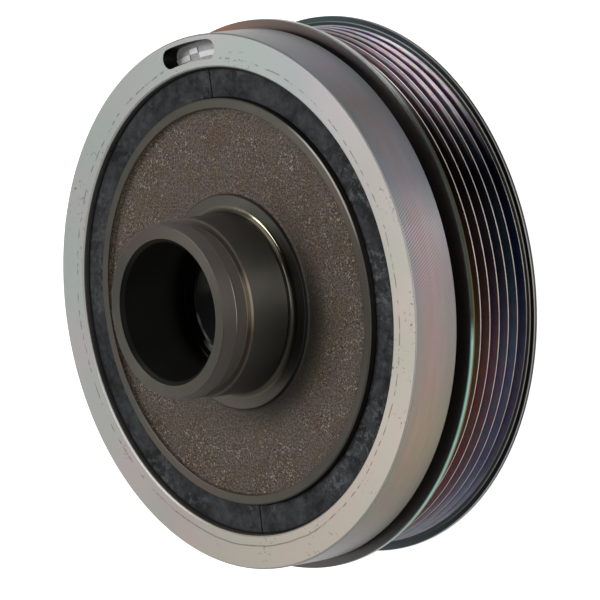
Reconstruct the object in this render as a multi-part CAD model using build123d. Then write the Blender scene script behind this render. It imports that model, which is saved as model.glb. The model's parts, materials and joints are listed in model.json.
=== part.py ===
from build123d import *

import os
from math import radians, tan

# Harmonic balancer for the front end of an engine crankshaft, in millimetres.
# +Z runs along the shaft towards the nose, which slides onto the crankshaft.
# The origin is on the axis, in the rear face of the belt pulley, where the part stands.
# A cast iron hub carries two steel rings, each held by two half strips of rubber.

# Nose of the hub, from its open end down to the boss on the web.
shaft_bore_dia = 40.0
shaft_bore_depth = 23.6
shaft_bore_lead_in = 1.1
collar_face_dia = 49.4
collar_rear_dia = 51.4
collar_length = 4.2
neck_dia = 47.7
neck_width = 5.4
seal_barrel_dia = 52.0
seal_barrel_length = 15.2
seal_barrel_chamfer = 0.5
seal_barrel_root_radius = 1.9
boss_dia = 62.3

# Shoulder that the shaft butts against, with the hole for the bolt behind it.
bolt_hole_dia = 30.6
bolt_hole_chamfer = 0.5
bolt_seat_dia = 76.0
bolt_seat_height = 3.2
bolt_seat_root_radius = 1.5

# Web and drum of the hub.
web_recess = 1.6
web_thickness = 10.0
web_front_radius = 0.8
web_rear_radius = 3.0
front_drum_dia = 117.6
rear_drum_dia = 125.0
drum_wall = 5.5
rim_face_width = 2.8
rim_face_chamfer = 0.35
rim_face_proud = 0.25
drum_rear_recess = 1.5

# Front damper: a plain ring on the front drum.
damper_rubber_thickness = 8.7
damper_rubber_front_recess = 1.9
damper_rubber_rear_recess = 1.3
damper_rubber_edge_radius = 0.5
damper_ring_wall = 10.0
damper_ring_width = 15.6
damper_ring_outer_chamfer = 0.4
damper_ring_bore_chamfer = 0.7

# Arc pocket milled into the face of the front ring to balance the part.
pocket_radius = 73.0
pocket_width = 5.8
pocket_depth = 5.3
pocket_start_angle = 91.1
pocket_sweep = 13.9

# Joints in the rubber, measured anticlockwise from +X as seen from the nose.
strip_joint_angles = (93.4, 271.2)
strip_joint_gap = 0.25

# Rear damper: the belt pulley on the rear drum.
ring_gap = 2.9
pulley_rubber_thickness = 5.5
pulley_rubber_inset = 2.5
pulley_wall = 4.95
pulley_bore_chamfer = 0.5

# Belt track of the pulley.
groove_count = 6
groove_pitch = 3.56
groove_depth = 3.0
groove_half_angle = 20.0
rib_tip_flat = 0.35
front_flange_height = 3.95
front_flange_land = 1.6
front_flange_bevel = 2.53
front_flange_radius = 0.5
rear_flange_height = 2.55
rear_flange_land = 1.25
rear_flange_bevel = 0.5
rear_flange_bevel_height = 1.0
rear_flange_chamfer = 0.2

# Radii that follow from the sizes above.
shaft_bore_r = shaft_bore_dia / 2
bolt_hole_r = bolt_hole_dia / 2
seal_barrel_r = seal_barrel_dia / 2
front_drum_r = front_drum_dia / 2
rear_drum_r = rear_drum_dia / 2
rim_inner_r = front_drum_r - rim_face_width
damper_bore_r = front_drum_r + damper_rubber_thickness
damper_outer_r = damper_bore_r + damper_ring_wall
pulley_bore_r = rear_drum_r + pulley_rubber_thickness
groove_root_r = pulley_bore_r + pulley_wall
rib_tip_r = groove_root_r + groove_depth
front_flange_r = rib_tip_r + front_flange_height
rear_flange_r = rib_tip_r + rear_flange_height

# Widths and heights that follow, counted from the rear face of the pulley.
groove_opening = groove_pitch - rib_tip_flat
groove_flank_run = groove_depth * tan(radians(groove_half_angle))
groove_start_z = rear_flange_land + rear_flange_bevel + rib_tip_flat / 2
groove_end_z = groove_start_z + (groove_count - 1) * groove_pitch + groove_opening
pulley_width = groove_end_z + front_flange_bevel + front_flange_land
ring_rear_z = pulley_width + ring_gap
ring_face_z = ring_rear_z + damper_ring_width
rim_face_z = ring_face_z + rim_face_proud
web_front_z = rim_face_z - web_recess
web_rear_z = web_front_z - web_thickness
bolt_seat_z = web_rear_z - bolt_seat_height
neck_rear_z = rim_face_z + seal_barrel_length
collar_rear_z = neck_rear_z + neck_width
nose_face_z = collar_rear_z + collar_length
shoulder_z = nose_face_z - shaft_bore_depth


def profile(corners, radii=()):
    """Face in the radius and height plane, with the listed corners rounded."""
    face = make_face(Polyline(*corners, close=True))
    for corner, radius in radii:
        nearest = face.vertices().sort_by_distance((*corner, 0))[0]
        face = fillet(nearest, radius)
    return face


def turned(face, start=0.0, sweep=360.0):
    """Solid turned about the shaft axis from a profile, from one angle round to another."""
    upright = Plane.XZ * face
    return Rot(0, 0, start) * revolve(upright, Axis.Z, sweep)


def hub():
    """One iron casting: nose, web and the stepped drum behind it."""
    bore = [
        (bolt_hole_r + bolt_hole_chamfer, bolt_seat_z),
        (bolt_hole_r, bolt_seat_z + bolt_hole_chamfer),
        (bolt_hole_r, shoulder_z - bolt_hole_chamfer),
        (bolt_hole_r + bolt_hole_chamfer, shoulder_z),
        (shaft_bore_r, shoulder_z),
        (shaft_bore_r, nose_face_z - shaft_bore_lead_in),
        (shaft_bore_r + shaft_bore_lead_in, nose_face_z),
    ]
    barrel_root = (seal_barrel_r, rim_face_z)
    nose = [
        (collar_face_dia / 2, nose_face_z),
        (collar_rear_dia / 2, collar_rear_z),
        (neck_dia / 2, collar_rear_z),
        (neck_dia / 2, neck_rear_z),
        (seal_barrel_r - seal_barrel_chamfer, neck_rear_z),
        (seal_barrel_r, neck_rear_z - seal_barrel_chamfer),
        barrel_root,
    ]
    boss_foot = (boss_dia / 2, web_front_z)
    rim_foot = (rim_inner_r, web_front_z)
    web = [(boss_dia / 2, rim_face_z), boss_foot, rim_foot, (rim_inner_r, rim_face_z)]
    drum_step_z = pulley_width + ring_gap / 2
    drum = [
        (front_drum_r - rim_face_chamfer, rim_face_z),
        (front_drum_r, rim_face_z - rim_face_chamfer),
        (front_drum_r, drum_step_z),
        (rear_drum_r, drum_step_z),
        (rear_drum_r, drum_rear_recess),
        (rear_drum_r - drum_wall, drum_rear_recess),
    ]
    drum_root = (front_drum_r - drum_wall, web_rear_z)
    seat_foot = (bolt_seat_dia / 2, web_rear_z)
    rear = [drum_root, seat_foot, (bolt_seat_dia / 2, bolt_seat_z)]
    rounded = [
        (barrel_root, seal_barrel_root_radius),
        (boss_foot, web_front_radius),
        (rim_foot, web_front_radius),
        (drum_root, web_rear_radius),
        (seat_foot, bolt_seat_root_radius),
    ]
    return turned(profile(bore + nose + web + drum + rear, rounded))


def damper_ring():
    """Front inertia ring, with the balancing pocket milled into its face."""
    bore_r = damper_bore_r
    outer_r = damper_outer_r
    ring = turned(
        profile(
            [
                (bore_r + damper_ring_bore_chamfer, ring_rear_z),
                (outer_r - damper_ring_outer_chamfer, ring_rear_z),
                (outer_r, ring_rear_z + damper_ring_outer_chamfer),
                (outer_r, ring_face_z - damper_ring_outer_chamfer),
                (outer_r - damper_ring_outer_chamfer, ring_face_z),
                (bore_r + damper_ring_bore_chamfer, ring_face_z),
                (bore_r, ring_face_z - damper_ring_bore_chamfer),
                (bore_r, ring_rear_z + damper_ring_bore_chamfer),
            ]
        )
    )
    middle = CenterArc((0, 0), pocket_radius, pocket_start_angle, pocket_sweep)
    slot = Pos(0, 0, ring_face_z) * SlotArc(middle, pocket_width)
    return ring - extrude(slot, -pocket_depth)


def belt_track():
    """Corners of the grooved surface, from the rear flange to the front flange."""
    corners = [
        (rear_flange_r - rear_flange_chamfer, 0),
        (rear_flange_r, rear_flange_chamfer),
        (rear_flange_r, rear_flange_land),
        (rib_tip_r + rear_flange_bevel_height, rear_flange_land),
        (rib_tip_r, rear_flange_land + rear_flange_bevel),
    ]
    for groove in range(groove_count):
        start_z = groove_start_z + groove * groove_pitch
        corners.append((rib_tip_r, start_z))
        corners.append((groove_root_r, start_z + groove_flank_run))
        corners.append((groove_root_r, start_z + groove_opening - groove_flank_run))
        corners.append((rib_tip_r, start_z + groove_opening))
    corners.append((front_flange_r, groove_end_z + front_flange_bevel))
    return corners


def pulley_ring():
    """Rear ring, grooved for a multi-rib belt, between two guiding flanges."""
    front_corner = (front_flange_r, pulley_width)
    bore = [
        (pulley_bore_r + pulley_bore_chamfer, pulley_width),
        (pulley_bore_r, pulley_width - pulley_bore_chamfer),
        (pulley_bore_r, pulley_bore_chamfer),
        (pulley_bore_r + pulley_bore_chamfer, 0),
    ]
    outline = belt_track() + [front_corner] + bore
    return turned(profile(outline, [(front_corner, front_flange_radius)]))


def half_strips(inner_r, outer_r, bottom_z, top_z, edge_radius):
    """Two strips of rubber that fill the space round a drum, with a joint at each end."""
    corners = [(inner_r, bottom_z), (outer_r, bottom_z), (outer_r, top_z), (inner_r, top_z)]
    section = profile(corners, [(corner, edge_radius) for corner in corners])
    joint = Pos((inner_r + outer_r) / 2, 0, (bottom_z + top_z) / 2) * Box(
        2 * (outer_r - inner_r), strip_joint_gap, 2 * (top_z - bottom_z)
    )
    first, second = strip_joint_angles
    spans = [(first, second - first), (second, 360 - (second - first))]
    strips = []
    for start, sweep in spans:
        strip = turned(section, start, sweep)
        strip -= Rot(0, 0, start) * joint
        strip -= Rot(0, 0, start + sweep) * joint
        strips.append(strip)
    return strips


def write(shape, node):
    """One STEP file for one piece."""
    export_step(shape, f"parts/{node}.step")


os.makedirs("parts", exist_ok=True)

write(hub(), "hub")
write(damper_ring(), "damper_ring")
write(pulley_ring(), "pulley_ring")

damper_strips = half_strips(
    front_drum_r,
    damper_bore_r,
    ring_rear_z + damper_rubber_rear_recess,
    ring_face_z - damper_rubber_front_recess,
    damper_rubber_edge_radius,
)
pulley_strips = half_strips(
    rear_drum_r,
    pulley_bore_r,
    pulley_rubber_inset,
    pulley_width - pulley_rubber_inset,
    damper_rubber_edge_radius,
)
for side, strip in zip(("left", "right"), damper_strips):
    write(strip, f"damper_rubber_{side}")
for side, strip in zip(("left", "right"), pulley_strips):
    write(strip, f"pulley_rubber_{side}")
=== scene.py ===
import json
import math
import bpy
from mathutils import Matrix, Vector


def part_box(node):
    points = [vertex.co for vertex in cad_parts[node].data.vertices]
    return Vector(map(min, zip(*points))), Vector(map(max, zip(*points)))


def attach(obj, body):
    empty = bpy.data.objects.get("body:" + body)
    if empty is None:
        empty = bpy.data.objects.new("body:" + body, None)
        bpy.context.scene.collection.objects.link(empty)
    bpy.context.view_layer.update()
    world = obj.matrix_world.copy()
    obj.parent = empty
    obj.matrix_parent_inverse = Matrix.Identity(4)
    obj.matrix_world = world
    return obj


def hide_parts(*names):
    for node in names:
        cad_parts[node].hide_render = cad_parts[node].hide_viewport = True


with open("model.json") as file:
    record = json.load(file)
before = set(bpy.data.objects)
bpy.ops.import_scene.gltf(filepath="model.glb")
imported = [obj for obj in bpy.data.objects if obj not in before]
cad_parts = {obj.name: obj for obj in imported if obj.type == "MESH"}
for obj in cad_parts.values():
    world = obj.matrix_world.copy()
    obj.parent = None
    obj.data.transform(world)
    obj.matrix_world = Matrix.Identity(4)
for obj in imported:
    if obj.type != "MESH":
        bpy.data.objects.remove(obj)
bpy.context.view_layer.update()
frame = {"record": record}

from types import SimpleNamespace

import bmesh
import bpy
import numpy as np
from mathutils import Matrix, Vector, noise

# Harmonic balancer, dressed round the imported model. Metres, +Z along the shaft to the nose.

mm = 0.001
fullTurn = 2 * math.pi
hair = 0.01 * mm      # allowance when faces are told apart


# where things are, read from the frame

def mount(name):
    found = [m for m in frame["record"]["mounts"] if m["name"] == name][0]
    height = found["pos_m"][2]
    half = found["dims"].get("length_mm", 0) * mm / 2
    radius = found["dims"].get("r_mm", 0) * mm
    return {"radius": radius, "low": height - half, "high": height + half}


def outside(nodeName):
    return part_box(nodeName)[1].x


def bottom(nodeName):
    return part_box(nodeName)[0].z


def top(nodeName):
    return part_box(nodeName)[1].z


# turning: corners are (radius, height, rounding), spun about the shaft

def rounded(corners, steps=4):
    points = []
    for i, (radius, height, rounding) in enumerate(corners):
        here = Vector((radius, height))
        before = Vector(corners[i - 1][:2]) - here
        after = Vector(corners[(i + 1) % len(corners)][:2]) - here
        bend = before.angle(after)
        reach = rounding / math.tan(bend / 2)
        reach = min(reach, before.length * 0.49, after.length * 0.49)
        if rounding == 0 or reach < 1e-7:
            points.append(here)
            continue
        start = here + before.normalized() * reach
        end = here + after.normalized() * reach
        for step in range(steps + 1):    # a quadratic curve is near enough to an arc at this size
            t = step / steps
            points.append(start * (1 - t) ** 2 + here * 2 * t * (1 - t) + end * t ** 2)
    return points


def divided(points, longest):
    out = []
    for i, here in enumerate(points):
        there = points[(i + 1) % len(points)]
        pieces = max(1, math.ceil((there - here).length / longest(here, there) - 1e-6))
        out.extend(here.lerp(there, k / pieces) for k in range(pieces))
    return out


def spin(name, points, spokes, start=0.0, sweep=fullTurn):
    whole = abs(sweep - fullTurn) < 1e-6
    columns = spokes if whole else spokes + 1
    rows = len(points)
    angle = start + sweep * np.arange(columns) / spokes
    grid = np.empty((columns, rows, 3))
    grid[:, :, 0] = np.cos(angle)[:, None] * np.array([p.x for p in points])
    grid[:, :, 1] = np.sin(angle)[:, None] * np.array([p.x for p in points])
    grid[:, :, 2] = np.array([p.y for p in points])
    faces = []
    for c in range(spokes):
        d = (c + 1) % columns
        for r in range(rows):
            s = (r + 1) % rows
            faces.append((c * rows + r, c * rows + s, d * rows + s, d * rows + r))
    if not whole:
        faces.append(tuple(range(rows - 1, -1, -1)))
        faces.append(tuple((columns - 1) * rows + r for r in range(rows)))
    mesh = bpy.data.meshes.new(name)
    mesh.from_pydata(grid.reshape(-1, 3).tolist(), [], faces)
    obj = bpy.data.objects.new(name, mesh)
    bpy.context.scene.collection.objects.link(obj)
    bm = bmesh.new()
    bm.from_mesh(mesh)
    bmesh.ops.recalc_face_normals(bm, faces=bm.faces)
    bm.to_mesh(mesh)
    bm.free()
    return obj


def smoothOver(obj, sharpAngle=50):
    obj.data.shade_smooth()
    obj.data.set_sharp_from_angle(angle=math.radians(sharpAngle))
    weighted = obj.modifiers.new("flats", "WEIGHTED_NORMAL")
    weighted.weight = 100
    weighted.keep_sharp = True


def place(obj, slotName, *nodeNames):
    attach(obj, "root")
    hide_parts(*nodeNames)


# shader nodes

def newMaterial(name):
    material = bpy.data.materials.new(name)
    material.use_nodes = True
    tree = material.node_tree
    return material, tree, tree.nodes["Principled BSDF"]


def node(tree, kind, sockets=None, **settings):
    new = tree.nodes.new("ShaderNode" + kind)
    for key, value in settings.items():
        setattr(new, key, value)
    for key, value in (sockets or {}).items():
        if isinstance(value, bpy.types.NodeSocket):
            tree.links.new(value, new.inputs[key])
        else:
            new.inputs[key].default_value = value
    return new


def maths(tree, operation, a, b=0.0):
    return node(tree, "Math", {0: a, 1: b}, operation=operation).outputs[0]


def ramp(tree, fac, stops):
    new = node(tree, "ValToRGB", {"Fac": fac})
    band = new.color_ramp
    while len(band.elements) < len(stops):
        band.elements.new(0.5)
    for element, (position, colour) in zip(band.elements, stops):
        element.position = position
        element.color = (*colour, 1)
    return new.outputs["Color"]


def mixed(tree, fac, a, b, blend="MIX"):
    new = node(tree, "Mix", data_type="RGBA", blend_type=blend)
    for socket, value in ((new.inputs[0], fac), (new.inputs[6], a), (new.inputs[7], b)):
        if isinstance(value, bpy.types.NodeSocket):
            tree.links.new(value, socket)
        else:
            socket.default_value = (*value, 1) if socket.type == "RGBA" else value
    return new.outputs[2]


def times(tree, a, b):
    return mixed(tree, 1.0, a, b, "MULTIPLY")


def fraction(tree, value, start, length):      # how far a value has come along a length
    return maths(tree, "DIVIDE", maths(tree, "SUBTRACT", value, start), length)


def grey(value):
    return (value, value, value)


def shade(red, green, blue):      # a screen colour, 0 to 255, as Blender's linear colour
    return tuple(((c / 255 + 0.055) / 1.055) ** 2.4 if c > 10 else c / 3294.6 for c in (red, green, blue))


def tints(*rows):      # stops for a ramp: place, then red, green and blue
    return [(stop, shade(*colour)) for stop, *colour in rows]


def greys(*rows):      # stops for a ramp: place and level
    return [(stop, grey(level)) for stop, level in rows]


# object place, radius from the shaft, height, and the turn about it from 0 at -X to 1
def turnedPlace(tree):
    where = node(tree, "TexCoord").outputs["Object"]
    axes = node(tree, "SeparateXYZ", {"Vector": where}).outputs
    flat = node(tree, "CombineXYZ", {"X": axes["X"], "Y": axes["Y"]})
    radius = node(tree, "VectorMath", {0: flat.outputs[0]}, operation="LENGTH").outputs["Value"]
    angle = maths(tree, "ARCTAN2", axes["Y"], axes["X"])
    turn = maths(tree, "ADD", maths(tree, "DIVIDE", angle, fullTurn), 0.5)
    return SimpleNamespace(where=where, radius=radius, height=axes["Z"], turn=turn)


def newFinish(name):
    material, tree, shader = newMaterial(name)
    return material, tree, shader, turnedPlace(tree)


def paint(tree, shader, colour):
    tree.links.new(colour, shader.inputs["Base Color"])


def settings(shader, **levels):
    names = {"metallic": "Metallic", "roughness": "Roughness", "specular": "Specular IOR Level"}
    for key, level in levels.items():
        shader.inputs[names[key]].default_value = level


def dress(obj, finishes, finishOf):      # one slot for each finish, and each face in its own
    obj.data.materials.clear()
    for material in finishes.values():
        obj.data.materials.append(material)
    order = list(finishes)
    for face in obj.data.polygons:
        face.material_index = order.index(finishOf(face))


def aroundShaft(tree, turn, stops):
    return ramp(tree, turn, [((degrees + 180) / 360, colour) for degrees, colour in stops])


# noise along radius plus height gives rings on flats and on barrels alike
def toolMarks(tree, radius, height, scale, detail=2.0):
    sockets = {"W": maths(tree, "ADD", radius, height), "Scale": scale, "Detail": detail}
    return node(tree, "TexNoise", sockets, noise_dimensions="1D").outputs["Fac"]


def cloud(tree, where, scale, detail=4.0, roughness=0.5):
    sockets = {"Vector": where, "Scale": scale, "Detail": detail, "Roughness": roughness}
    return node(tree, "TexNoise", sockets).outputs["Fac"]


def bump(tree, shader, height, strength, distance):
    new = node(tree, "Bump", {"Strength": strength, "Distance": distance, "Height": height})
    tree.links.new(new.outputs[0], shader.inputs["Normal"])


def ringedGloss(tree, shader, rings, low, high):
    tree.links.new(ramp(tree, rings, greys((0.3, low), (0.7, high))), shader.inputs["Roughness"])


def turnedGloss(tree, shader, stretch):      # light on a turned face draws out across the tool marks
    around = node(tree, "Tangent", direction_type="RADIAL", axis="Z")
    tree.links.new(around.outputs[0], shader.inputs["Tangent"])
    shader.inputs["Anisotropic"].default_value = stretch
    shader.inputs["Anisotropic Rotation"].default_value = acrossMarks


acrossMarks = 0.25


# camera, floor and light

cameraSet = {
    "place": (1.35383, 0.13581, 1.19329),
    "aim": (0.01688, -0.00063, 0.035),
    "roll": -5.06,          # degrees, the part leans a little in the frame
    "lens": 372.0,          # mm on a 36 mm sensor, a long lens from 1.8 m
}

studio = {
    "floorSize": 12,
    "floorDrop": 0.2 * mm,      # just clear of the rear face
    "floorColour": 0.8,
    "floorGlow": 0.8,       # lifts the floor to white for the camera, and leaves its shadow
    "sky": [(0.0, 0.3), (0.5, 0.4), (0.82, 0.42), (0.9, 0.22), (0.95, 0.1), (1.0, 0.07)],    # dark overhead
}

# direction from the part, distance, width and height in metres, and watts
lamps = {
    "topLamp": ((0.0, 0.84, 0.54), 1.6, (1.2, 1.2), 2.5),
    "frontLamp": ((-0.45, 0.24, 0.86), 1.6, (0.5, 0.5), 8.0),
    "fillLamp": ((-0.78, -0.13, 0.61), 1.6, (1.0, 1.0), 1.9),
    "sideLamp": ((0.9, 0.24, 0.37), 1.6, (1.3, 0.6), 9.0),
    "skyLamp": ((0.64, -0.08, 0.76), 1.6, (1.0, 1.0), 2.2),
}


def addCamera():
    data = bpy.data.cameras.new("camera")
    data.lens = cameraSet["lens"]
    data.sensor_width = 36
    data.clip_end = 20
    obj = bpy.data.objects.new("camera", data)
    bpy.context.scene.collection.objects.link(obj)
    back = (Vector(cameraSet["place"]) - Vector(cameraSet["aim"])).normalized()
    right = Vector((0, 1, 0)).cross(back).normalized()
    up = back.cross(right)
    turn = Matrix((right, up, back)).transposed().to_4x4()
    turn = turn @ Matrix.Rotation(math.radians(cameraSet["roll"]), 4, "Z")
    obj.matrix_world = Matrix.Translation(cameraSet["place"]) @ turn
    bpy.context.scene.camera = obj


def addFloor():
    bpy.ops.mesh.primitive_plane_add(size=studio["floorSize"], location=(0, 0, -studio["floorDrop"]))
    floor = bpy.context.object
    floor.name = "floor"
    material, tree, shader = newMaterial("floorWhite")
    shader.inputs["Base Color"].default_value = (*grey(studio["floorColour"]), 1)
    settings(shader, roughness=0.8, specular=0.1)
    path = node(tree, "LightPath")
    seen = maths(tree, "MAXIMUM", path.outputs["Is Camera Ray"], path.outputs["Is Glossy Ray"])
    seen = maths(tree, "MAXIMUM", seen, path.outputs["Is Transmission Ray"])
    shader.inputs["Emission Color"].default_value = (1, 1, 1, 1)
    tree.links.new(maths(tree, "MULTIPLY", seen, studio["floorGlow"]), shader.inputs["Emission Strength"])
    floor.data.materials.append(material)


def addLamp(name, direction, distance, size, power):
    data = bpy.data.lights.new(name, "AREA")
    data.shape = "RECTANGLE"
    data.size, data.size_y = size
    data.energy = power
    obj = bpy.data.objects.new(name, data)
    bpy.context.scene.collection.objects.link(obj)
    away = Vector(direction).normalized()
    facing = away.to_track_quat("Z", "Y").to_matrix().to_4x4()
    obj.matrix_world = Matrix.Translation(away * distance) @ facing


def addLight():
    world = bpy.data.worlds.new("studio")
    bpy.context.scene.world = world
    world.use_nodes = True
    tree = world.node_tree
    toward = node(tree, "TexCoord").outputs["Generated"]
    height = node(tree, "SeparateXYZ", {"Vector": toward}).outputs["Z"]
    lifted = maths(tree, "ADD", maths(tree, "MULTIPLY", height, 0.5), 0.5)
    sky = ramp(tree, lifted, greys(*studio["sky"]))
    tree.links.new(sky, tree.nodes["Background"].inputs["Color"])
    tree.nodes["Background"].inputs["Strength"].default_value = 1
    for name, (direction, distance, size, power) in lamps.items():
        addLamp(name, direction, distance, size, power)
    bpy.context.scene.view_settings.view_transform = "Standard"


addCamera()
addFloor()
addLight()
print("camera, floor and light set")


# the hub, one iron casting, turned where it runs

hub = {
    "spokes": 600,
    "bore": mount("shaft_bore"),
    "hole": mount("bolt_hole"),
    "barrel": mount("seal_barrel"),
    "nose": top("hub"),
    "back": bottom("hub"),
    "rearDrum": outside("hub"),
    "seat": mount("bolt_seat")["low"],
    "face": top("damper_ring") + 0.25 * mm,     # the rim stands a little proud of the ring
    "frontDrum": 58.8 * mm,
    "boss": 31.15 * mm,
    "rimInside": 56.0 * mm,
    "collarFace": 24.7 * mm,
    "collarRear": 25.7 * mm,
    "neck": 23.85 * mm,
    "collarLength": 4.2 * mm,
    "neckWidth": 5.4 * mm,
    "webRecess": 1.6 * mm,
    "webThickness": 10.0 * mm,
    "drumWall": 5.5 * mm,
    "seatRadius": 38.0 * mm,
    "grain": 0.16 * mm,      # height of the sand-cast skin
    "grainSize": 0.9 * mm,
    "castStep": 0.4 * mm,      # spacing of the points that carry it
    "chamfer": 0.5 * mm,
    "rimChamfer": 0.35 * mm,
}
hub["web"] = hub["face"] - hub["webRecess"]


def hubOutline():
    h = hub
    hole, bore, barrel = h["hole"], h["bore"], h["barrel"]
    chamfer = h["chamfer"]
    shoulder = hole["high"] + chamfer
    leadIn = h["nose"] - bore["high"]
    neckTop = h["nose"] - h["collarLength"]
    neckFoot = neckTop - h["neckWidth"]
    web = h["web"]
    webBack = web - h["webThickness"]
    step = (top("pulley_ring") + bottom("damper_ring")) / 2
    fine = 0.12 * mm
    return [
        (hole["radius"] + chamfer, h["seat"], fine),
        (hole["radius"], h["seat"] + chamfer, fine),
        (hole["radius"], shoulder - chamfer, fine),
        (hole["radius"] + chamfer, shoulder, fine),
        (bore["radius"], shoulder, fine),
        (bore["radius"], h["nose"] - leadIn, fine),
        (bore["radius"] + leadIn, h["nose"], fine),
        (h["collarFace"], h["nose"], 0.3 * mm),
        (h["collarRear"], neckTop, 0.2 * mm),
        (h["neck"], neckTop, 0.3 * mm),
        (h["neck"], neckFoot, 0.3 * mm),
        (barrel["radius"] - chamfer, neckFoot, fine),
        (barrel["radius"], barrel["high"], fine),
        (barrel["radius"], h["face"], barrel["low"] - h["face"]),
        (h["boss"], h["face"], 0.35 * mm),
        (h["boss"], web, 0.8 * mm),
        (h["rimInside"], web, 0.8 * mm),
        (h["rimInside"], h["face"], 0.2 * mm),
        (h["frontDrum"] - h["rimChamfer"], h["face"], fine),
        (h["frontDrum"], h["face"] - h["rimChamfer"], fine),
        (h["frontDrum"], step, fine),
        (h["rearDrum"], step, 0.3 * mm),
        (h["rearDrum"], h["back"], 0.4 * mm),
        (h["rearDrum"] - h["drumWall"], h["back"], 0.4 * mm),
        (h["frontDrum"] - h["drumWall"], webBack, 3.0 * mm),
        (h["seatRadius"], webBack, 1.5 * mm),
        (h["seatRadius"], h["seat"], 0.4 * mm),
    ]


def hubFinish(face):
    centre = face.center
    radius = math.hypot(centre.x, centre.y)
    web = hub["web"]
    webBack = web - hub["webThickness"]
    bore, hole, barrel = hub["bore"], hub["hole"], hub["barrel"]
    shoulder = hole["high"] + hub["chamfer"]
    if radius < bore["radius"] + 1.05 * mm and centre.z > shoulder - 0.6 * mm:
        if radius < hole["radius"] + 0.45 * mm and centre.z < shoulder:
            return "holeEdge"
        return "bore"
    if radius < hole["radius"] + 0.1 * mm:
        return "hole"
    if barrel["low"] - 0.1 * mm < centre.z < barrel["high"] + 0.2 * mm and radius > hub["neck"] + 1.0 * mm:
        return "barrel"
    if 0.15 * mm < centre.z - barrel["high"] < 0.9 * mm and 0.1 * mm < radius - hub["neck"]:
        return "barrelEdge"
    if -0.4 * mm < radius - hub["boss"] < 0.05 * mm and web < centre.z < hub["face"] + hair:
        return "bossEdge"
    if -0.37 * mm < radius - hub["frontDrum"] < hair and centre.z > hub["face"] - 0.4 * mm:
        return "rimEdge" if centre.z < hub["face"] - hair else "turned"
    if hub["face"] + hair < centre.z < barrel["low"] and radius < hub["boss"]:
        return "fillet"
    # the collar's rear edge takes a painted highlight
    if centre.z > hub["nose"] - hub["collarLength"] - 0.2 * mm and radius > hub["collarFace"] - 0.1 * mm:
        return "worn" if centre.z < hub["nose"] - hub["collarLength"] + 0.4 * mm else "collar"
    if barrel["high"] < centre.z < hub["nose"] - hub["collarLength"] + hair and radius < hub["collarRear"]:
        return "neck"
    if hub["boss"] < radius < hub["rimInside"] and abs(centre.z - web) < 0.6 * mm:
        return "cast"
    if abs(radius - hub["rimInside"]) < 0.85 * mm and web < centre.z < hub["face"] - 0.2 * mm:
        return "cast"
    behind = hub["back"] + 1 * mm < centre.z < webBack + 0.2 * mm
    if behind and hub["seatRadius"] < radius < hub["frontDrum"]:
        return "cast"
    return "turned"


def buildHub():
    web = hub["web"]

    def longest(a, b):
        castFront = abs(a.y - web) < hair and abs(b.y - web) < hair
        return hub["castStep"] if castFront else 4 * mm

    points = divided(rounded(hubOutline()), longest)
    obj = spin("hubCasting", points, hub["spokes"])
    skin = np.empty(len(obj.data.vertices) * 3)
    obj.data.vertices.foreach_get("co", skin)
    skin = skin.reshape(-1, 3)
    for v in skin:
        radius = math.hypot(v[0], v[1])
        if abs(v[2] - web) < 0.3 * mm and hub["boss"] + 0.3 * mm < radius < hub["rimInside"] - 0.3 * mm:
            v[2] += hub["grain"] * noise.fractal(Vector(v) / hub["grainSize"], 0.7, 2.1, 3) - 0.05 * mm
    obj.data.vertices.foreach_set("co", skin.ravel())
    smoothOver(obj)
    finishes = {
        "turned": turnedIron(), "cast": castIron(), "barrel": barrelIron(), "fillet": filletIron(),
        "collar": collarIron(), "worn": paintedEdgeLight("worn", edgeHighlightTints["collar"]),
        "barrelEdge": paintedEdgeLight("barrelEdge", edgeHighlightTints["barrel"]),
        "rimEdge": paintedEdgeLight("rimEdge", edgeHighlightTints["rim"]),
        # painted shade along the boss's edge, darkest from -60 to 40 degrees
        "bossEdge": paintedEdgeLight("bossEdge", tints(
            (-90, 48, 46, 42), (-60, 24, 23, 20), (40, 24, 23, 20), (75, 48, 46, 42))),
        "neck": neckIron(), "bore": boreIron(), "hole": holeIron(), "holeEdge": holeEdgeIron(),
    }
    dress(obj, finishes, hubFinish)
    place(obj, "hub_iron", "hub")


def turnedIron():
    material, tree, shader, at = newFinish("turnedIron")
    rings = toolMarks(tree, at.radius, at.height, 3500)
    colour = ramp(tree, cloud(tree, at.where, 70, 5), tints(
        (0.35, 74, 73, 67), (0.5, 80, 77, 70), (0.68, 84, 75, 71)))
    paint(tree, shader, colour)
    settings(shader, metallic=1)
    ringedGloss(tree, shader, rings, 0.3, 0.42)
    turnedGloss(tree, shader, 0.4)
    bump(tree, shader, rings, 0.12, 0.05 * mm)
    return material


def barrelIron():      # the seal runs here, so it's ground finer
    material, tree, shader, at = newFinish("barrelIron")
    rings = toolMarks(tree, at.radius, at.height, 5000)
    colour = ramp(tree, cloud(tree, at.where, 60, 4), tints((0.35, 92, 92, 86), (0.65, 106, 100, 92)))
    # painted light and shade by turn: brightest from 13 to 30 degrees, darker toward -70 and 78
    paintedLightByTurn = aroundShaft(tree, at.turn, greys(
        (-180, 0.6), (-70, 0.45), (-45, 0.55), (-30, 0.75), (0, 0.75), (13, 1.0), (30, 0.95),
        (45, 0.7), (60, 0.65), (78, 0.55), (180, 0.6)))
    colour = times(tree, colour, paintedLightByTurn)
    paint(tree, shader, colour)
    settings(shader, metallic=1)
    ringedGloss(tree, shader, rings, 0.36, 0.44)
    turnedGloss(tree, shader, 0.85)
    bump(tree, shader, rings, 0.06, 0.03 * mm)
    return material


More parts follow.
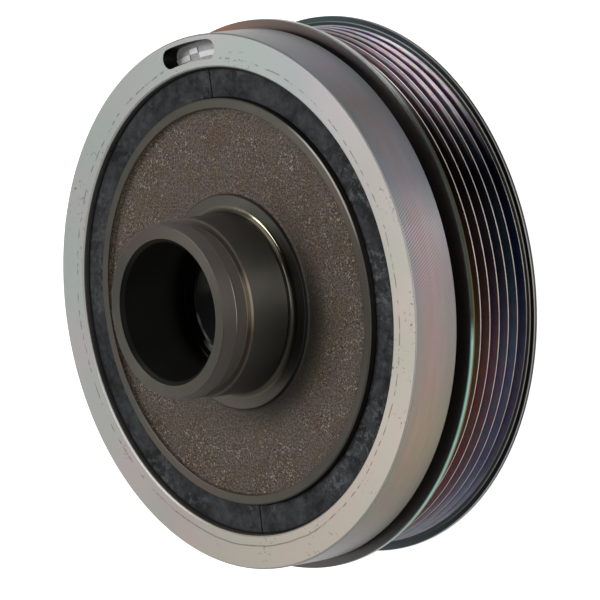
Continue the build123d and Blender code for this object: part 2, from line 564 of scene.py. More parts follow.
def filletIron():      # the form tool leaves the root smooth
    material, tree, shader, at = newFinish("filletIron")
    # painted highlight by turn from 36 to 64 degrees, and painted shade from -30 to 22
    colour = aroundShaft(tree, at.turn, tints(
        (-180, 80, 78, 68), (-60, 84, 82, 70), (-30, 64, 62, 54), (22, 54, 53, 47), (36, 112, 107, 92),
        (64, 112, 107, 92), (85, 80, 78, 68), (180, 80, 78, 68)))
    paint(tree, shader, colour)
    settings(shader, metallic=1)
    tree.links.new(aroundShaft(tree, at.turn, greys(
        (-20, 0.34), (5, 0.2), (28, 0.12), (68, 0.12), (85, 0.34))), shader.inputs["Roughness"])
    return material


def collarIron():
    material, tree, shader, at = newFinish("collar")
    rings = toolMarks(tree, at.radius, at.height, 3000)
    paint(tree, shader, mixed(tree, 0.2, shade(76, 70, 66), rings, "MULTIPLY"))
    settings(shader, metallic=0.8, roughness=0.42)
    turnedGloss(tree, shader, 0.5)
    bump(tree, shader, rings, 0.1, 0.05 * mm)
    return material


# degrees from +X, painted highlights where the edges catch the light
edgeHighlightTints = {
    "collar": tints(
        (-180, 70, 64, 58), (-16, 74, 66, 58), (-4, 196, 190, 182), (14, 206, 200, 192),
        (24, 84, 76, 68), (180, 70, 64, 58)),
    "barrel": tints(
        (-180, 70, 64, 58), (-16, 74, 66, 56), (-2, 140, 126, 108), (14, 150, 136, 118),
        (26, 78, 70, 60), (180, 70, 64, 58)),
    "rim": tints(
        (-180, 60, 58, 52), (15, 76, 72, 66), (28, 168, 162, 154), (48, 190, 184, 176),
        (60, 84, 80, 74), (180, 60, 58, 52)),
}


# edge colour by turn: painted highlight on the collar, barrel and rim edges, painted shade on the boss edge
def paintedEdgeLight(name, colours):
    material, tree, shader, at = newFinish(name)
    paint(tree, shader, aroundShaft(tree, at.turn, colours))
    settings(shader, metallic=0.3, roughness=0.5, specular=0.3)
    return material


def neckIron():
    material, tree, shader, at = newFinish("neckIron")
    rings = toolMarks(tree, at.radius, at.height, 3000)
    paint(tree, shader, ramp(tree, rings, tints((0.3, 84, 78, 72), (0.7, 98, 92, 84))))
    settings(shader, metallic=0.6, roughness=0.45)
    bump(tree, shader, rings, 0.1, 0.05 * mm)
    return material


def boreIron():      # dull, with painted shade: dark inside and darker still round part of the turn
    material, tree, shader, at = newFinish("boreIron")
    rings = toolMarks(tree, at.radius, at.height, 3000)
    colour = ramp(tree, rings, tints((0.3, 34, 34, 30), (0.7, 44, 43, 39)))
    paintedLightByTurn = aroundShaft(tree, at.turn, greys(
        (-180, 0.3), (-150, 0.35), (-120, 1.0), (0, 1.0), (90, 1.0), (122, 1.0), (150, 0.45),
        (180, 0.3)))
    colour = times(tree, colour, paintedLightByTurn)
    # a painted lit patch on the shoulder at its bottom, low on one side
    hole, bore = hub["hole"]["radius"], hub["bore"]["radius"]
    inward = fraction(tree, bore, at.radius, bore - hole)
    deep = ramp(tree, inward, greys(
        (0.01, 0.0), (0.04, 0.4), (0.12, 0.4), (0.18, 0.0), (0.45, 0.0), (0.55, 1.0)))
    side = aroundShaft(tree, at.turn, greys((-141, 0.0), (-128, 1.0), (-112, 1.0), (-95, 0.0)))
    paintedLitPatch = maths(tree, "MULTIPLY", deep, side)
    paint(tree, shader, mixed(tree, paintedLitPatch, colour, shade(205, 203, 200)))
    settings(shader, metallic=0.7, roughness=0.5, specular=0.2)
    bump(tree, shader, rings, 0.2, 0.05 * mm)
    return material


def holeIron():      # painted light and shade by turn: blue-black on one side, a lit patch on the other
    material, tree, shader, at = newFinish("holeIron")
    colour = aroundShaft(tree, at.turn, tints(
        (-180, 6, 15, 30), (-140, 8, 12, 20), (-100, 30, 32, 30), (150, 96, 102, 90),
        (164, 92, 96, 82), (174, 10, 16, 20), (180, 6, 15, 30)))
    # painted shade, darker toward the hole's front end
    back, front = hub["seat"], hub["hole"]["high"]
    inward = fraction(tree, front, at.height, front - back)
    colour = times(tree, colour, ramp(tree, inward, greys((0.05, 0.15), (0.6, 1.0))))
    paint(tree, shader, mixed(tree, 0.3, colour, toolMarks(tree, at.radius, at.height, 3000), "MULTIPLY"))
    settings(shader, metallic=0.4, roughness=0.5, specular=0.1)
    return material


def holeEdgeIron():
    material, tree, shader, at = newFinish("holeEdgeIron")
    # painted highlight by turn: a bright crescent round part of the edge, dark elsewhere
    colour = aroundShaft(tree, at.turn, tints(
        (-180, 12, 13, 13), (-170, 14, 15, 15), (-161, 110, 112, 112), (-151, 80, 81, 80),
        (-141, 140, 138, 136), (-131, 84, 82, 76), (150, 20, 21, 20), (180, 12, 13, 13)))
    paint(tree, shader, colour)
    settings(shader, metallic=0.5, roughness=0.35, specular=0.1)
    return material


def castIron():
    material, tree, shader, at = newFinish("castIron")
    fine = cloud(tree, at.where, 1900, 3, 0.75)
    grains = node(tree, "TexVoronoi", {"Vector": at.where, "Scale": 2700})
    grain = node(tree, "SeparateColor", {"Color": grains.outputs["Color"]}).outputs["Red"]
    base = ramp(tree, fine, tints((0.36, 44, 36, 31), (0.5, 86, 76, 69), (0.64, 127, 115, 105)))
    stain = ramp(tree, cloud(tree, at.where, 130, 3), greys((0.42, 0.0), (0.62, 0.6)))
    base = mixed(tree, stain, base, times(tree, base, shade(248, 244, 205)))
    rose = ramp(tree, cloud(tree, at.where, 95, 3), greys((0.5, 0.0), (0.68, 0.6)))
    base = mixed(tree, rose, base, times(tree, base, shade(252, 225, 225)))
    # bright sand specks and dark pits come in clusters
    clusters = ramp(tree, cloud(tree, at.where, 150, 2), greys((0.42, 0.15), (0.58, 1.0)))
    outward = maths(tree, "DIVIDE", at.radius, hub["rimInside"])
    outward = ramp(tree, outward, greys((0.6, 0.45), (0.85, 1.0)))
    clusters = times(tree, clusters, outward)
    speck = ramp(tree, grain, greys((0.9, 0.0), (0.94, 1.0)))
    pit = ramp(tree, grain, greys((0.06, 1.0), (0.1, 0.0)))
    base = mixed(tree, times(tree, speck, clusters), base, shade(158, 144, 129))
    base = mixed(tree, times(tree, pit, clusters), base, shade(38, 32, 29))
    # painted shade on the web beside the boss, on one side
    beside = maths(tree, "DIVIDE", at.radius, hub["boss"] * 2)
    beside = ramp(tree, beside, greys((0.5, 1.0), (0.55, 0.75), (0.63, 0.0)))
    side = aroundShaft(tree, at.turn, greys(
        (-120, 0.1), (-70, 0.9), (-10, 1.0), (30, 0.5), (60, 0.0), (170, 0.1)))
    base = mixed(tree, times(tree, beside, side), base, shade(46, 41, 34))
    paint(tree, shader, base)
    settings(shader, metallic=0.4, roughness=0.65)
    bump(tree, shader, fine, 0.7, 0.2 * mm)
    return material


buildHub()
print("hub built")


# the inertia ring, bright turned steel with one milled pocket

ring = {
    "spokes": 512,
    "outside": outside("damper_ring"),
    "inside": outside("damper_ring") - 10.0 * mm,
    "face": top("damper_ring"),
    "back": bottom("damper_ring"),
    "outerEdge": 0.4 * mm,
    "boreEdge": 0.7 * mm,
    "pocketRadius": 73.0 * mm,
    "pocketWidth": 5.8 * mm,
    "pocketDepth": 5.3 * mm,
    "pocketStart": 91.1,     # degrees from +X
    "pocketSweep": 13.9,
    # low facets on the pocket's floor, painted bright as highlights: inner and outer radius, first and last
    # degree
    "facets": [(71.4, 73.0, 102.5, 107.6), (72.8, 74.4, 99.4, 102.3), (71.2, 72.8, 93.4, 99.1)],
    "facetHeight": 0.25 * mm,
    "hatchLines": 500,
    "hatchPitch": 1.35 * mm,
    "scratchIn": 3.8 * mm,      # a broken scratch, out from the bore
    "scratchWander": 1.6 * mm,
    "scratchWidth": 0.5 * mm,
}


def pocketCutter():
    half = ring["pocketWidth"] / 2
    start = math.radians(ring["pocketStart"])
    end = start + math.radians(ring["pocketSweep"])
    outline = []

    def arc(centre, radius, a, b, steps):
        for k in range(steps + 1):
            angle = a + (b - a) * k / steps
            outline.append(centre + Vector((math.cos(angle), math.sin(angle))) * radius)

    def onCircle(angle):
        return Vector((math.cos(angle), math.sin(angle))) * ring["pocketRadius"]

    arc(Vector((0, 0)), ring["pocketRadius"] + half, start, end, 24)
    arc(onCircle(end), half, end, end + math.pi, 16)
    arc(Vector((0, 0)), ring["pocketRadius"] - half, end, start, 24)
    arc(onCircle(start), half, start + math.pi, start + fullTurn, 16)
    bm = bmesh.new()
    for p in outline:
        bm.verts.new((p.x, p.y, ring["face"] - ring["pocketDepth"]))
    bmesh.ops.remove_doubles(bm, verts=bm.verts, dist=1e-6)
    bm.verts.ensure_lookup_table()
    base = bm.faces.new(list(bm.verts))
    lifted = bmesh.ops.extrude_face_region(bm, geom=[base])
    tops = [v for v in lifted["geom"] if isinstance(v, bmesh.types.BMVert)]
    bmesh.ops.translate(bm, verts=tops, vec=(0, 0, ring["pocketDepth"] + 2 * mm))
    bmesh.ops.recalc_face_normals(bm, faces=bm.faces)
    mesh = bpy.data.meshes.new("pocketCutter")
    bm.to_mesh(mesh)
    bm.free()
    cutter = bpy.data.objects.new("pocketCutter", mesh)
    bpy.context.scene.collection.objects.link(cutter)
    return cutter


def joinShape(obj, other, operation):
    modifier = obj.modifiers.new("shape", "BOOLEAN")
    modifier.object = other
    modifier.operation = operation
    modifier.solver = "EXACT"
    bpy.context.view_layer.update()
    done = bpy.data.meshes.new_from_object(obj.evaluated_get(bpy.context.evaluated_depsgraph_get()))
    obj.modifiers.remove(modifier)
    obj.data = done
    bpy.data.objects.remove(other)


def inPocket(centre):
    radius = math.hypot(centre.x, centre.y)
    degrees = math.degrees(math.atan2(centre.y, centre.x))
    reach = math.degrees(ring["pocketWidth"] / 2 / ring["pocketRadius"]) + 0.1
    beside = abs(radius - ring["pocketRadius"]) < ring["pocketWidth"] / 2 + 0.05 * mm
    return beside and -reach < degrees - ring["pocketStart"] < ring["pocketSweep"] + reach


def ringFinish(face):
    floor = ring["face"] - ring["pocketDepth"]
    centre = face.center
    if inPocket(centre) and floor - 0.1 * mm < centre.z < ring["face"] - hair:
        if face.normal.z < 0.9:
            return "wall"
        return "facet" if centre.z > floor + ring["facetHeight"] / 2 else "floor"
    radius = math.hypot(centre.x, centre.y)
    if radius > ring["outside"] - 0.04 * mm:
        return "outer"
    lowest = ring["face"] - ring["boreEdge"] - 0.03 * mm
    if centre.z > lowest and radius < ring["inside"] + ring["boreEdge"]:
        return "boreEdge"
    if radius > ring["outside"] - ring["outerEdge"] + 0.03 * mm:
        return "outerEdge"
    return "face"


def buildRing():
    fine = 0.12 * mm
    outer, inner, low, high = ring["outside"], ring["inside"], ring["back"], ring["face"]
    e, b = ring["outerEdge"], ring["boreEdge"]
    corners = [
        (inner + b, low, fine), (outer - e, low, fine), (outer, low + e, fine),
        (outer, high - e, fine), (outer - e, high, fine), (inner + b, high, fine),
        (inner, high - b, fine), (inner, low + b, fine),
    ]
    obj = spin("inertiaRing", rounded(corners), ring["spokes"])
    joinShape(obj, pocketCutter(), "DIFFERENCE")
    floor = high - ring["pocketDepth"]
    for inside, outside, first, last in ring["facets"]:
        bar = [Vector((r * mm, z)) for r, z in (
            (inside, floor - 0.5 * mm), (outside, floor - 0.5 * mm),
            (outside, floor + ring["facetHeight"]), (inside, floor + ring["facetHeight"]))]
        joinShape(obj, spin("facet", bar, 8, math.radians(first), math.radians(last - first)), "UNION")
    smoothOver(obj, 35)
    finishes = {
        "face": ringFace(), "outer": ringOuter(), "boreEdge": edgeSheen("boreEdge"),
        "outerEdge": edgeSheen("outerEdge"), "wall": pocketWall(), "floor": pocketFloor(),
        "facet": pocketFacet(),
    }
    dress(obj, finishes, ringFinish)
    place(obj, "ring_steel", "damper_ring")


def ringFace():
    material, tree, shader, at = newFinish("ringFace")
    rings = toolMarks(tree, at.radius, at.height, 4000)
    # the face's colour carries painted light and shade by turn
    colour = aroundShaft(tree, at.turn, ringTints["face"])
    patch = ramp(tree, cloud(tree, at.where, 40, 4), tints((0.4, 242, 250, 246), (0.6, 252, 248, 250)))
    colour = times(tree, colour, patch)
    scuffs = ramp(tree, cloud(tree, at.where, 900, 2), greys((0.60, 0.0), (0.68, 1.0)))
    clusters = ramp(tree, cloud(tree, at.where, 75, 2), greys((0.56, 0.0), (0.66, 0.8)))
    colour = mixed(tree, times(tree, scuffs, clusters), colour, shade(92, 96, 98))
    # a broken scratch wanders round near the bore
    wander = maths(tree, "MULTIPLY", cloud(tree, at.where, 60, 2), ring["scratchWander"])
    middle = ring["inside"] + ring["scratchIn"]
    away = maths(tree, "SUBTRACT", maths(tree, "ADD", at.radius, wander), middle)
    away = maths(tree, "ABSOLUTE", away)
    line = ramp(tree, maths(tree, "DIVIDE", away, ring["scratchWidth"]), greys((0.25, 1.0), (0.55, 0.0)))
    dashes = ramp(tree, cloud(tree, at.where, 420, 4), greys((0.47, 0.0), (0.56, 0.6)))
    solid = aroundShaft(tree, at.turn, greys((-128, 0.0), (-112, 0.55), (-70, 0.5), (-56, 0.0)))
    scratch = times(tree, line, maths(tree, "MAXIMUM", dashes, solid))
    colour = mixed(tree, scratch, colour, shade(80, 68, 64))
    paint(tree, shader, colour)
    settings(shader, metallic=1)
    ringedGloss(tree, shader, rings, 0.34, 0.46)
    turnedGloss(tree, shader, 0.3)
    bump(tree, shader, rings, 0.1, 0.04 * mm)
    return material


def edgeSheen(name):      # broken edges of the ring
    material, tree, shader, at = newFinish(name)
    colour = aroundShaft(tree, at.turn, ringTints[name])
    if name == "boreEdge":      # its inner half is painted darker, narrowing the painted highlight
        out = fraction(tree, at.radius, ring["inside"], ring["boreEdge"])
        colour = times(tree, colour, ramp(tree, out, [(0.35, shade(70, 69, 67)), (0.5, grey(1.0))]))
    paint(tree, shader, colour)
    settings(shader, metallic=0.3, roughness=0.5)
    return material


# degrees from +X, and the steel's colour there with painted light and shade
ringTints = {
    "face": tints(
        (-180, 170, 170, 168), (-120, 165, 155, 152), (-90, 178, 172, 160), (-30, 212, 198, 188),
        (0, 200, 193, 183), (30, 173, 162, 161), (60, 156, 157, 158), (90, 170, 172, 169),
        (180, 170, 170, 168)),
    "boreEdge": tints(
        (-180, 202, 196, 188), (-155, 244, 241, 236), (-122, 240, 236, 228), (-104, 184, 176, 164),
        (-20, 160, 154, 144), (110, 167, 169, 163), (180, 202, 196, 188)),
    "outerEdge": tints(
        (-180, 150, 152, 150), (-60, 160, 156, 148), (0, 166, 164, 160), (60, 112, 114, 112),
        (180, 150, 152, 150)),
    "outer": tints(
        (-180, 100, 98, 94), (-100, 66, 67, 64), (-84, 42, 44, 41), (-74, 50, 51, 48),
        (-60, 88, 86, 78), (-30, 136, 125, 112), (0, 139, 130, 130), (15, 151, 143, 147),
        (26, 106, 105, 113), (45, 87, 83, 86), (60, 86, 87, 95), (80, 64, 66, 68), (180, 100, 98, 94)),
}


def ringOuter():
    material, tree, shader, at = newFinish("ringOuter")
    rings = toolMarks(tree, at.radius, at.height, 4500)
    # painted light and shade by turn round the ring
    colour = aroundShaft(tree, at.turn, ringTints["outer"])
    # a fine helix left by the cutter, plainest to the front
    phase = maths(tree, "ADD", maths(tree, "MULTIPLY", at.turn, fullTurn * ring["hatchLines"]),
                  maths(tree, "MULTIPLY", at.height, fullTurn / ring["hatchPitch"]))
    hatch = maths(tree, "SINE", phase)
    depth = aroundShaft(tree, at.turn, greys(
        (-14, 0.0), (0, 0.35), (8, 0.8), (17, 0.9), (22, 0.3), (26, 0.0)))
    lifted = maths(tree, "ADD", maths(tree, "MULTIPLY", hatch, 0.5), 0.5)
    lines = ramp(tree, lifted, [(0.2, shade(196, 192, 200)), (0.8, grey(1.0))])
    forward = fraction(tree, at.height, ring["back"], ring["face"] - ring["back"])
    depth = times(tree, depth, ramp(tree, forward, greys((0.05, 0.25), (0.4, 0.6), (0.75, 1.0))))
    flushed = ramp(tree, forward, tints(
        (0.0, 236, 248, 250), (0.2, 242, 249, 250), (0.42, 255, 250, 250), (0.72, 255, 249, 249),
        (0.92, 238, 250, 252)))
    colour = times(tree, colour, flushed)
    colour = mixed(tree, depth, colour, times(tree, colour, lines))
    blush = ramp(tree, cloud(tree, at.where, 90, 3), tints((0.42, 250, 252, 246), (0.6, 255, 246, 249)))
    colour = times(tree, colour, blush)
    # soft streaks run round the ring
    drawn = node(tree, "VectorMath", {0: at.where, 1: (1.0, 1.0, 9.0)}, operation="MULTIPLY").outputs[0]
    streaks = ramp(tree, cloud(tree, drawn, 70, 3), [(0.38, shade(250, 248, 243)), (0.62, grey(1.0))])
    colour = times(tree, colour, streaks)
    paint(tree, shader, colour)
    settings(shader, metallic=1)
    ringedGloss(tree, shader, rings, 0.32, 0.42)
    turnedGloss(tree, shader, 0.6)
    bump(tree, shader, rings, 0.1, 0.04 * mm)
    return material


def pocketWall():      # painted shade: the pocket's walls dark
    material, tree, shader, at = newFinish("pocketWall")
    paint(tree, shader, ramp(tree, cloud(tree, at.where, 400, 3), tints(
        (0.4, 30, 31, 24), (0.7, 48, 48, 42))))
    settings(shader, metallic=1, roughness=0.45)
    return material


def pocketFloor():
    material, tree, shader, at = newFinish("pocketFloor")
    paint(tree, shader, ramp(tree, cloud(tree, at.where, 600, 3), tints(
        (0.35, 190, 188, 188), (0.7, 208, 206, 206))))
    settings(shader, metallic=0.2, roughness=0.6)
    return material


def pocketFacet():      # milled lands, painted near white as highlights
    material, tree, shader, at = newFinish("pocketFacet")
    paint(tree, shader, ramp(tree, cloud(tree, at.where, 500, 2), greys((0.35, 0.9), (0.7, 1.0))))
    settings(shader, metallic=0.2, roughness=0.35, specular=1.0)
    return material


buildRing()
print("inertia ring built")


# rubber, two half strips in each layer

rubber = {
    "joints": (93.4, 271.2),     # degrees from +X
    "gap": 0.25 * mm,
    "edge": 0.5 * mm,
    "pulleyBore": 68.0 * mm,
    "jointLine": 0.35 * mm,      # half width of the dark line at a joint
}


def buildStrips():
    first, second = rubber["joints"]
    spans = {"left": (first, second), "right": (second, first + 360)}
    layers = {
        "damper": (hub["frontDrum"], ring["inside"]),
        "pulley": (hub["rearDrum"], rubber["pulleyBore"]),
    }
    black = rubberBlack()
    for layer, (inner, outer) in layers.items():
        for side, (a, b) in spans.items():
            nodeName = f"{layer}_rubber_{side}"
            low, high = bottom(nodeName), top(nodeName)
            back = math.degrees(rubber["gap"] / 2 / inner)
            box = (inner, low), (outer, low), (outer, high), (inner, high)
            corners = [(r, z, rubber["edge"]) for r, z in box]
            obj = spin(layer + "Rubber" + side.capitalize(), rounded(corners), 256,
                       math.radians(a + back), math.radians(b - a - 2 * back))
            smoothOver(obj)
            obj.data.materials.append(black)
            place(obj, "rubber", nodeName)


def rubberBlack():
    material, tree, shader, at = newFinish("rubberBlack")
    base = ramp(tree, cloud(tree, at.where, 170, 5, 0.7), tints((0.36, 20, 21, 22), (0.64, 61, 62, 65)))
    # chalky smears of bloom, most of them low on the right
    smear = cloud(tree, at.where, 420, 5, 0.8)
    patches = ramp(tree, cloud(tree, at.where, 60, 3), greys((0.47, 0.1), (0.58, 1.0)))
    amount = aroundShaft(tree, at.turn, greys(
        (-180, 0.5), (-100, 0.9), (-60, 0.9), (0, 1.0), (70, 0.8), (95, 0.4), (180, 0.5)))
    bloom = times(tree, ramp(tree, smear, greys((0.5, 0.0), (0.6, 0.8))), patches)
    bloom = times(tree, bloom, amount)
    base = mixed(tree, bloom, base, shade(97, 102, 103))
    # painted shade, black where the strip meets the steel
    span = fraction(tree, at.radius, hub["frontDrum"], ring["inside"] - hub["frontDrum"])
    paintedGapShade = ramp(tree, span, greys((0.01, 1.0), (0.05, 0.0), (0.89, 0.0), (0.96, 1.0)))
    base = mixed(tree, paintedGapShade, base, shade(14, 13, 13))
    # and at the joints between the strips
    for joint in rubber["joints"]:
        away = maths(tree, "ABSOLUTE", maths(tree, "SUBTRACT", at.turn, (joint + 180) % 360 / 360))
        reach = maths(tree, "MULTIPLY", away, at.radius)
        reach = maths(tree, "MULTIPLY", reach, fullTurn / rubber["jointLine"])
        base = mixed(tree, ramp(tree, reach, greys((0.7, 0.95), (1.0, 0.0))), base, shade(8, 8, 8))
    paint(tree, shader, base)
    settings(shader, roughness=0.7, specular=0.2)
    bump(tree, shader, smear, 0.35, 0.25 * mm)
    return material


buildStrips()
print("rubber built")


# the pulley, dark coated steel with bright rib tips

pulley = {
    "spokes": 512,
    "width": top("pulley_ring"),
    "frontFlange": outside("pulley_ring"),
    "rearFlange": 78.5 * mm,
    "tip": 75.95 * mm,
    "grooves": 6,
    "pitch": 3.56 * mm,
    "depth": 3.0 * mm,
    "halfAngle": 20.0,
    "tipFlat": 0.35 * mm,
    "rearLand": 1.25 * mm,
    "rearBevel": 0.5 * mm,
    "rearBevelHeight": 1.0 * mm,
    "frontLand": 1.6 * mm,
    "frontBevel": 2.53 * mm,
    "boreChamfer": 0.5 * mm,
    "edgeLine": 1.05 * mm,      # painted highlight line at the front flange's edge
}


def pulleyOutline():
    p = pulley
    fine = 0.1 * mm
    bore, cut = rubber["pulleyBore"], p["boreChamfer"]
    opening = p["pitch"] - p["tipFlat"]
    flank = p["depth"] * math.tan(math.radians(p["halfAngle"]))
    start = p["rearLand"] + p["rearBevel"] + p["tipFlat"] / 2
    root = p["tip"] - p["depth"]
    corners = [
        (bore + cut, 0, fine), (p["rearFlange"] - 0.2 * mm, 0, fine), (p["rearFlange"], 0.2 * mm, fine),
        (p["rearFlange"], p["rearLand"], 0.2 * mm),
        (p["tip"] + p["rearBevelHeight"], p["rearLand"], 0.2 * mm),
        (p["tip"], p["rearLand"] + p["rearBevel"], fine),
    ]
    for groove in range(p["grooves"]):
        low = start + groove * p["pitch"]
        corners += [
            (p["tip"], low, fine), (root, low + flank, 0.3 * mm),
            (root, low + opening - flank, 0.3 * mm), (p["tip"], low + opening, fine),
        ]
    end = start + (p["grooves"] - 1) * p["pitch"] + opening
    corners += [
        (p["frontFlange"], end + p["frontBevel"], 0.2 * mm), (p["frontFlange"], p["width"], 0.5 * mm),
        (bore + cut, p["width"], fine), (bore, p["width"] - cut, fine), (bore, cut, fine),
    ]
    return corners


def pulleyFinish(face):
    centre = face.center
    radius = math.hypot(centre.x, centre.y)
    forward = pulley["width"] - pulley["frontLand"] - pulley["frontBevel"] + 0.1 * mm
    between = pulley["rearLand"] + 0.3 * mm < centre.z < forward
    if between and abs(radius - pulley["tip"]) < 0.02 * mm:
        return "tip"
    if between and radius < pulley["tip"] and radius > pulley["tip"] - pulley["depth"] - 0.1 * mm:
        return "groove" if face.normal.z > 0 else "grooveBack"
    if centre.z > pulley["width"] - 0.04 * mm:
        return "flangeFace"
    if centre.z > pulley["width"] / 2 and radius > pulley["tip"]:
        return "flangeEdge"
    if radius > pulley["rearFlange"] - 0.25 * mm:
        return "rearEdge"
    if centre.z > pulley["rearLand"] - 0.1 * mm and radius > pulley["tip"]:
        return "rearFace"
    return "flangeFace"


def buildPulley():
    obj = spin("beltPulley", rounded(pulleyOutline(), 3), pulley["spokes"])
    smoothOver(obj)
    finishes = {
        "groove": grooveSteel("groove"), "grooveBack": grooveSteel("grooveBack"), "tip": tipSteel(),
        "flangeFace": flangeBlack("flangeFace"), "rearFace": flangeBlack("rearFace"),
        "flangeEdge": edgeSteel("flangeEdge"), "rearEdge": edgeSteel("rearEdge"),
    }
    dress(obj, finishes, pulleyFinish)
    place(obj, "pulley_steel", "pulley_ring")


# heat colours left on the coated steel, by height in mm for the grooves, and painted light and shade by
# degrees from +X for the edges and round the turn
pulleyTints = {
    "grooveLow": [
        (2.5, (0.29, 0.27, 0.36)), (6.0, (0.25, 0.27, 0.36)), (9.6, (0.26, 0.25, 0.33)),
        (13.2, (0.29, 0.22, 0.26)), (16.7, (0.31, 0.19, 0.20)), (20.3, (0.27, 0.20, 0.16))],
    "grooveFront": [
        (2.5, (0.09, 0.11, 0.24)), (6.0, (0.12, 0.18, 0.22)), (9.6, (0.12, 0.13, 0.17)),
        (13.2, (0.15, 0.12, 0.15)), (16.7, (0.17, 0.12, 0.13)), (20.3, (0.18, 0.14, 0.10))],
    # how bright the worn band is round the turn, mostly painted highlight
    "wear": greys(
        (-180, 0.3), (-140, 0.75), (-112, 0.2), (-62, 0.2), (-42, 0.0), (27, 0.0), (38, 0.3),
        (48, 0.9), (66, 1.0), (74, 0.6), (95, 0.4), (130, 0.1), (155, 0.6), (180, 0.3)),
    "wearDepth": greys((0.3, 1.0), (0.55, 0.5), (0.8, 0.15)),
    "wearWidth": greys((-180, 1.0), (48, 1.0), (60, 1.0), (75, 0.6), (88, 0.35), (110, 0.6), (140, 1.0)),
    "dim": greys(
        (-180, 1.0), (-60, 0.95), (-45, 0.8), (-10, 0.8), (6, 0.6), (16, 0.45), (24, 0.25), (40, 0.2),
        (48, 0.4), (60, 1.0), (180, 1.0)),
    "flangeEdge": tints(
        (-180, 110, 112, 108), (-62, 96, 112, 110), (-50, 120, 155, 148), (-10, 126, 166, 158),
        (-5, 50, 58, 53), (32, 50, 56, 54), (40, 62, 66, 65), (50, 134, 142, 138), (66, 150, 160, 158),
        (72, 128, 132, 124), (90, 158, 148, 138), (180, 110, 112, 108)),
    "flangeLand": tints(
        (-180, 84, 78, 68), (-60, 92, 86, 78), (-45, 112, 92, 60), (-20, 106, 88, 50),
        (12, 68, 58, 38), (30, 40, 34, 28), (40, 38, 33, 31), (48, 96, 92, 90), (72, 76, 66, 62),
        (90, 90, 80, 75), (180, 84, 78, 68)),
    "rearEdge": tints(
        (-180, 92, 90, 86), (-60, 112, 114, 114), (0, 113, 113, 109), (38, 90, 90, 88),
        (60, 84, 84, 83), (80, 60, 62, 60), (180, 92, 90, 86)),
    "flangeFace": tints(
        (-180, 92, 84, 80), (-60, 110, 108, 106), (0, 100, 92, 88), (30, 112, 108, 102),
        (46, 150, 146, 144), (60, 112, 106, 108), (78, 97, 86, 83), (92, 108, 95, 89),
        (114, 150, 100, 68), (130, 110, 88, 76), (180, 92, 84, 80)),
    "rearFace": tints(
        (-180, 74, 78, 78), (-60, 75, 83, 87), (0, 58, 60, 58), (45, 62, 68, 68), (64, 70, 82, 92),
        (90, 60, 74, 74), (180, 74, 78, 78)),
}
# the worn flank from its tip inward, which carries the painted highlight
wearAndSheenBands = [
    (0.0, (1.0, 1.0, 1.0)), (0.19, (1.0, 0.98, 1.0)), (0.25, (0.8, 0.5, 0.62)),
    (0.31, (0.3, 0.1, 0.15)), (0.4, (0.03, 0.02, 0.04))]


def grooveSteel(name):
    material, tree, shader, at = newFinish(name)
    along = maths(tree, "DIVIDE", at.height, pulley["width"])
    low, front = [ramp(tree, along, [(z * mm / pulley["width"], colour) for z, colour in pulleyTints[name]])
                  for name in ("grooveLow", "grooveFront")]
    # painted shade: the darker heat colours from 4 to 60 degrees
    colour = mixed(tree, aroundShaft(tree, at.turn, greys(
        (-180, 0.6), (-18, 0.0), (4, 1.0), (60, 1.0), (180, 0.6))), low, front)
    # painted shade by turn, dimmest from 24 to 40 degrees
    colour = times(tree, colour, aroundShaft(tree, at.turn, pulleyTints["dim"]))
    depth = fraction(tree, pulley["tip"], at.radius, pulley["depth"])
    drift = maths(tree, "MULTIPLY", maths(tree, "SUBTRACT", cloud(tree, at.where, 120, 2), 0.5), 0.25)
    drawnIn = maths(tree, "DIVIDE", depth, aroundShaft(tree, at.turn, pulleyTints["wearWidth"]))
    bands = wearAndSheenBands if name == "groove" else greys((0.0, 0.95), (1.0, 0.9))
    worn = ramp(tree, maths(tree, "ADD", drawnIn, drift), bands)
    # painted highlight: the worn band shows most from 48 to 66 degrees
    share = aroundShaft(tree, at.turn, pulleyTints["wear"])
    share = times(tree, share, ramp(tree, along, pulleyTints["wearDepth"]))
    colour = mixed(tree, share, colour, worn)
    # mottled heat colours
    drift = node(tree, "TexNoise", {"Vector": at.where, "Scale": 300, "Detail": 3}).outputs["Color"]
    drift = mixed(tree, 0.36, grey(1.0), times(tree, drift, grey(2.0)))
    colour = times(tree, colour, drift)
    paint(tree, shader, colour)
    settings(shader, metallic=1, roughness=0.3)
    turnedGloss(tree, shader, 0.2)
    return material


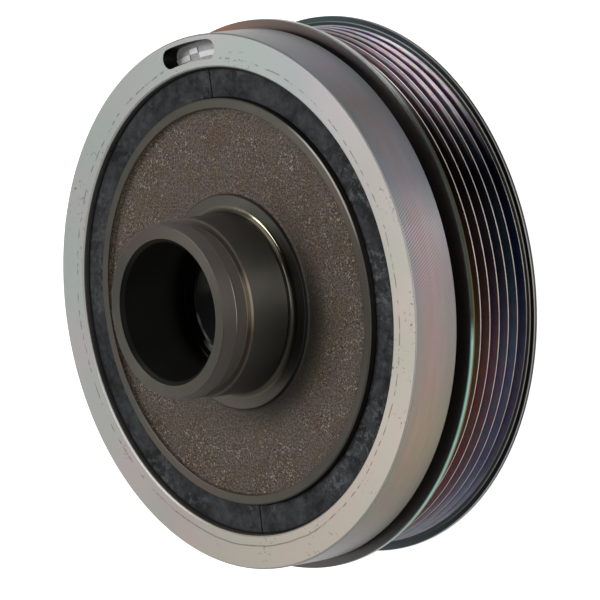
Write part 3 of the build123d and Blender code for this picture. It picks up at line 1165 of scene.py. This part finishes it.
def tipSteel():      # worn bright by the belt, with painted highlight and shade by turn
    material, tree, shader, at = newFinish("tipSteel")
    worn = aroundShaft(tree, at.turn, tints(
        (-180, 150, 142, 138), (-66, 100, 104, 108), (-48, 150, 144, 142), (-20, 172, 162, 154),
        (12, 170, 161, 154), (24, 146, 138, 132), (40, 150, 142, 138), (50, 216, 206, 208),
        (64, 206, 194, 198), (76, 126, 112, 114), (180, 150, 142, 138)))
    patches = ramp(tree, cloud(tree, at.where, 300, 3), greys((0.35, 0.8), (0.65, 1.0)))
    worn = times(tree, worn, patches)
    paint(tree, shader, worn)
    settings(shader, metallic=1, roughness=0.35)
    return material


def flangeBlack(name):
    material, tree, shader, at = newFinish(name)
    rings = toolMarks(tree, at.radius, at.height, 3500)
    # painted light and shade by turn
    colour = aroundShaft(tree, at.turn, pulleyTints[name])
    paint(tree, shader, colour)
    settings(shader, metallic=1)
    ringedGloss(tree, shader, rings, 0.34, 0.46)
    bump(tree, shader, rings, 0.12, 0.04 * mm)
    if name == "rearFace":      # a painted highlight along its corner
        out = fraction(tree, at.radius, pulley["tip"], pulley["rearFlange"] - pulley["tip"])
        line = ramp(tree, out, greys((0.28, 0.0), (0.33, 1.0), (0.41, 1.0), (0.46, 0.0)))
        line = maths(tree, "MULTIPLY", line, aroundShaft(tree, at.turn, greys(
            (-70, 0.0), (-35, 0.9), (66, 0.9), (95, 0.2), (140, 0.0))))
        paint(tree, shader, mixed(tree, line, colour, shade(176, 168, 158)))
        tree.links.new(maths(tree, "SUBTRACT", 1.0, line), shader.inputs["Metallic"])
    return material


def edgeSteel(name):
    material, tree, shader, at = newFinish(name)
    # painted light and shade by turn
    colour = aroundShaft(tree, at.turn, pulleyTints[name])
    wear = ramp(tree, cloud(tree, at.where, 200, 3), greys((0.35, 0.85), (0.65, 1.0)))
    paint(tree, shader, times(tree, colour, wear))
    settings(shader, metallic=1, roughness=0.3)
    if name == "flangeEdge":      # the tint changes part way across, to the land's painted light and shade by turn
        across = fraction(tree, pulley["width"], at.height, pulley["edgeLine"])
        halves = ramp(tree, maths(tree, "MULTIPLY", across, 0.5), greys((0.47, 0.0), (0.55, 1.0)))
        land = aroundShaft(tree, at.turn, pulleyTints["flangeLand"])
        paint(tree, shader, mixed(tree, halves, times(tree, colour, wear), land))
    if name == "rearEdge":      # painted shade between two painted highlights on the corners
        band = ramp(tree, maths(tree, "DIVIDE", at.height, pulley["rearLand"]),
                    greys((0.1, 0.9), (0.25, 0.3), (0.62, 0.3), (0.78, 1.7), (1.0, 1.7)))
        paint(tree, shader, times(tree, colour, band))
    return material


buildPulley()
print("pulley built")
